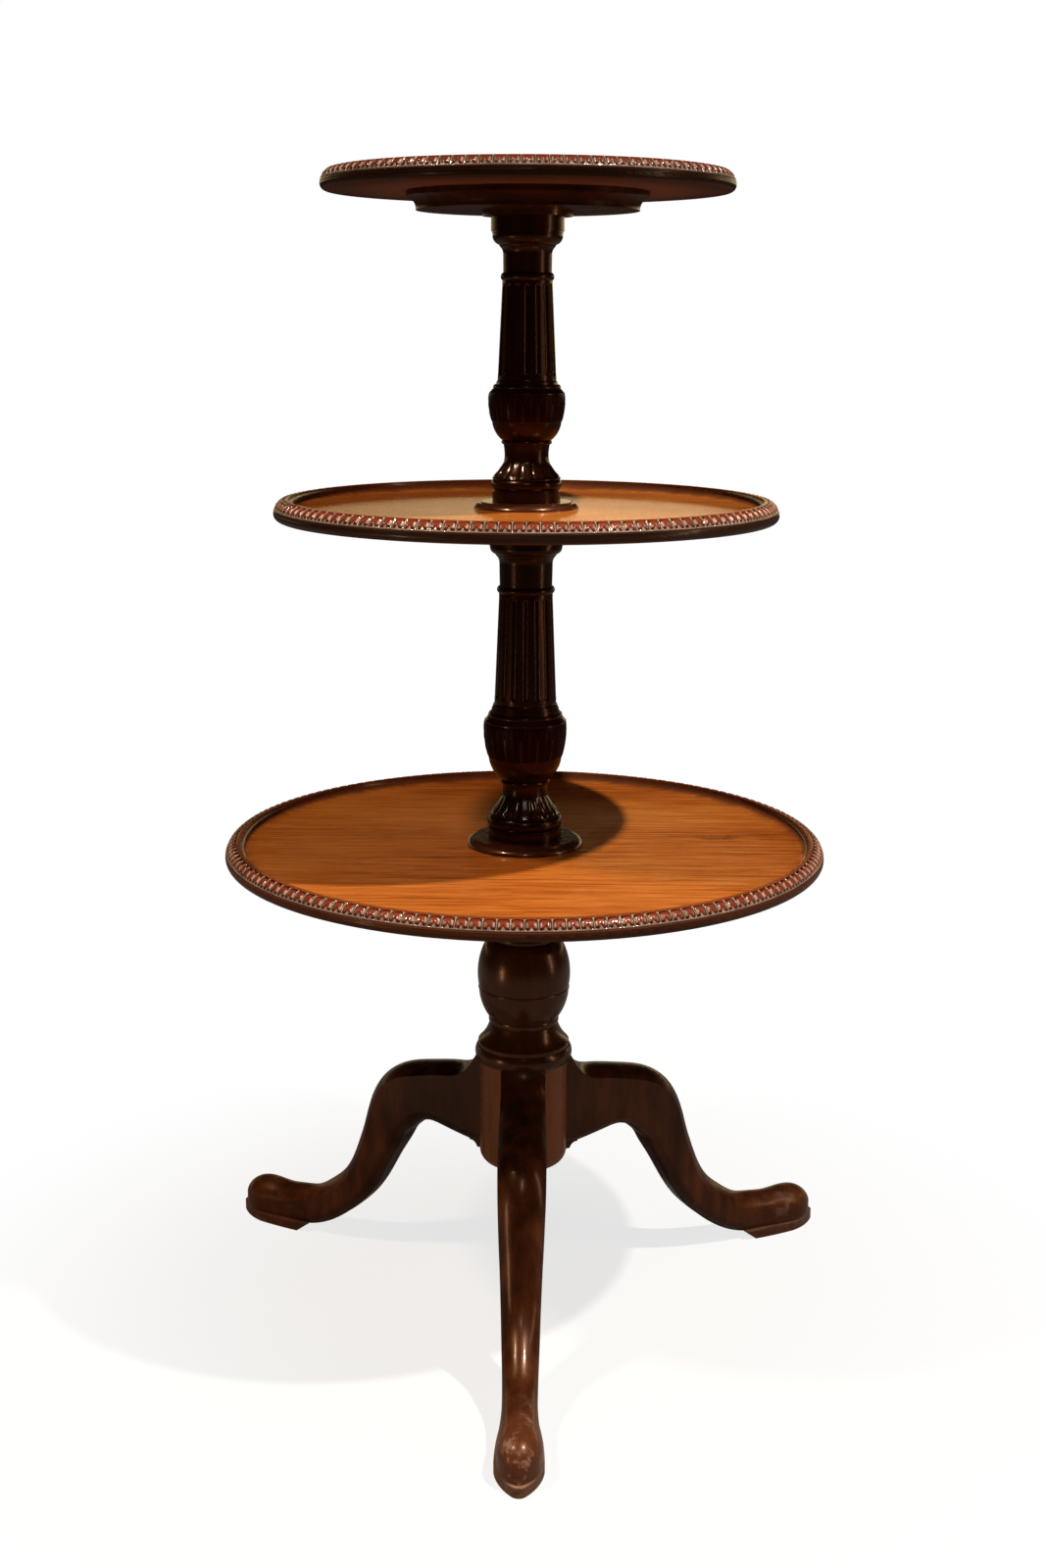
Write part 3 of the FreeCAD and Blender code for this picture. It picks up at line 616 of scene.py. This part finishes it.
stageLook = {
    "floorCorners": [(-9, -6, 0), (9, -6, 0), (9, 12, 0), (-9, 12, 0)],
    "floorBounce": rgb(0.22, 0.21, 0.2), "floorSeen": rgb(0.9, 0.9, 0.9), "white": rgb(1, 1, 1),
    "shadowShare": 0.25, "shadowNear": 0.15, "shadowFar": 0.75,
    "ambient": 0.022, "backFill": 0.35, "gloss": 0.01,
    "fillBack": (0.3, 0.9), "fillTop": (0.5, 0.2),  # directions, as parts of 1
    "glow": 1.8, "glowTint": rgb(1.0, 0.75, 0.39), "glowLeft": 0.70, "glowRise": 0.55,
    "glowBack": (0.3, 0.8), "glowFoot": (0.01, 0.05), "glowTop": (0.118, 0.088), "glowSide": (-0.12, 0.10),
}
warmStrip = (1.0, 0.68, 0.44)
lamps = {  # place, what it is aimed at, size, power and tint
    "keyRight": ((1.63, -1.12, 4.20), (0, 0, 0.5), (0.12, 0.12), 180.0, (1.0, 0.93, 0.84)),
    "fillLeft": ((-1.87, -1.05, 3.65), (0, 0, 0.5), (0.34, 0.34), 77.0, (1.0, 0.80, 0.60)),
    "front": ((0.05, -2.4, 2.6), (0, 0, 0.3), (0.3, 0.8), 7.5, (1.0, 0.95, 0.9)),
    "stripRight": ((1.55, -0.45, 0.95), (0, 0, 0.75), (0.16, 1.5), 5.0, warmStrip),
    "stripLeft": ((-1.35, -0.95, 0.26), (0, 0, 0.24), (0.20, 0.5), 3.0, warmStrip),
}


def seenBy(rays):  # the rays that see the background as white, glossy ones only faintly
    straight = rays.out("Is Camera Ray") + rays.out("Is Transmission Ray")
    return straight + rays.out("Is Glossy Ray") * stageLook["gloss"]


def buildFloor():
    mesh = bpy.data.meshes.new("floor")
    mesh.from_pydata(stageLook["floorCorners"], [], [(0, 1, 2, 3)])
    floor = bpy.data.objects.new("floor", mesh)
    scene.collection.objects.link(floor)
    material, at = newMaterial("paleFloor")
    seen = seenBy(at.node("ShaderNodeLightPath"))
    floorTone = seen.mix(stageLook["floorBounce"], stageLook["floorSeen"])
    matt = at.node("ShaderNodeBsdfDiffuse", None, {"Color": floorTone})
    white = at.node("ShaderNodeEmission", None, {"Color": stageLook["white"], "Strength": 1.0})
    away = fromAxis(placeOf(at)).step(stageLook["shadowNear"], stageLook["shadowFar"])
    shadowShare = stageLook["shadowShare"]
    lit = seen * (away * shadowShare + (1 - shadowShare))  # the shadow shows near the feet
    both = at.node("ShaderNodeMixShader", None, {0: lit, 1: matt, 2: white})
    at.node("ShaderNodeOutputMaterial", None, {"Surface": both})
    mesh.materials.append(material)


def buildWorld():
    world = bpy.data.worlds.new("studio")
    world.use_nodes = True
    world.node_tree.nodes.clear()
    rays = Wire(world.node_tree).node("ShaderNodeLightPath")
    glossy = rays.out("Is Glossy Ray")
    way = placeOf(rays.node("ShaderNodeTexCoord", None, None, "Generated"))
    x, y, z = way.out("X"), way.out("Y"), way.out("Z")
    band = y.step(*stageLook["glowBack"]) * z.step(*stageLook["glowFoot"]) * z.step(*stageLook["glowTop"])
    rightwards = x.step(*stageLook["glowSide"]) * stageLook["glowRise"] + stageLook["glowLeft"]
    glow = glossy * band * rightwards  # a warm band low behind the table, seen only in the polish
    behind = y.step(*stageLook["fillBack"]) * z.step(*stageLook["fillTop"]) * stageLook["backFill"]
    fill = rays.out("Is Diffuse Ray") * (stageLook["ambient"] + behind)
    strength = seenBy(rays) + fill + glow * stageLook["glow"]
    skyTone = glossy.mix(stageLook["white"], stageLook["glowTint"])
    sky = rays.node("ShaderNodeBackground", None, {"Color": skyTone, "Strength": strength})
    rays.node("ShaderNodeOutputWorld", None, {"Surface": sky})
    scene.world = world


def softLight(name, place, target, size, power, tint):
    lamp = bpy.data.lights.new(name, "AREA")
    lamp.shape = "ELLIPSE"
    lamp.size, lamp.size_y = size
    lamp.energy = power
    lamp.color = tint
    holder = bpy.data.objects.new(name, lamp)
    holder.location = place
    holder.rotation_euler = (Vector(target) - Vector(place)).to_track_quat("-Z", "Y").to_euler()
    scene.collection.objects.link(holder)


buildFloor()
buildWorld()
for name, settings in lamps.items():
    softLight(name, *settings)

cameraLook = {  # metres, degrees down, radians of roll, and a focal length in pixels of the picture's height
    "back": 1.9160, "height": 1.0096, "aside": -0.0019, "pitch": 13.2632, "roll": 0.005,
    "focal": 1995.4, "pictureHeight": 1600, "sensor": 36.0,
}
lens = bpy.data.cameras.new("camera")
lens.lens = cameraLook["focal"] / cameraLook["pictureHeight"] * cameraLook["sensor"]
lens.sensor_width = cameraLook["sensor"]
camera = bpy.data.objects.new("camera", lens)
stand = Matrix.Translation((cameraLook["aside"], -cameraLook["back"], cameraLook["height"]))
tilt = Matrix.Rotation(math.radians(90 - cameraLook["pitch"]), 4, "X")
camera.matrix_world = stand @ tilt @ Matrix.Rotation(cameraLook["roll"], 4, "Z")
scene.collection.objects.link(camera)
scene.camera = camera
scene.view_settings.view_transform = "Standard"
print("stage ready")
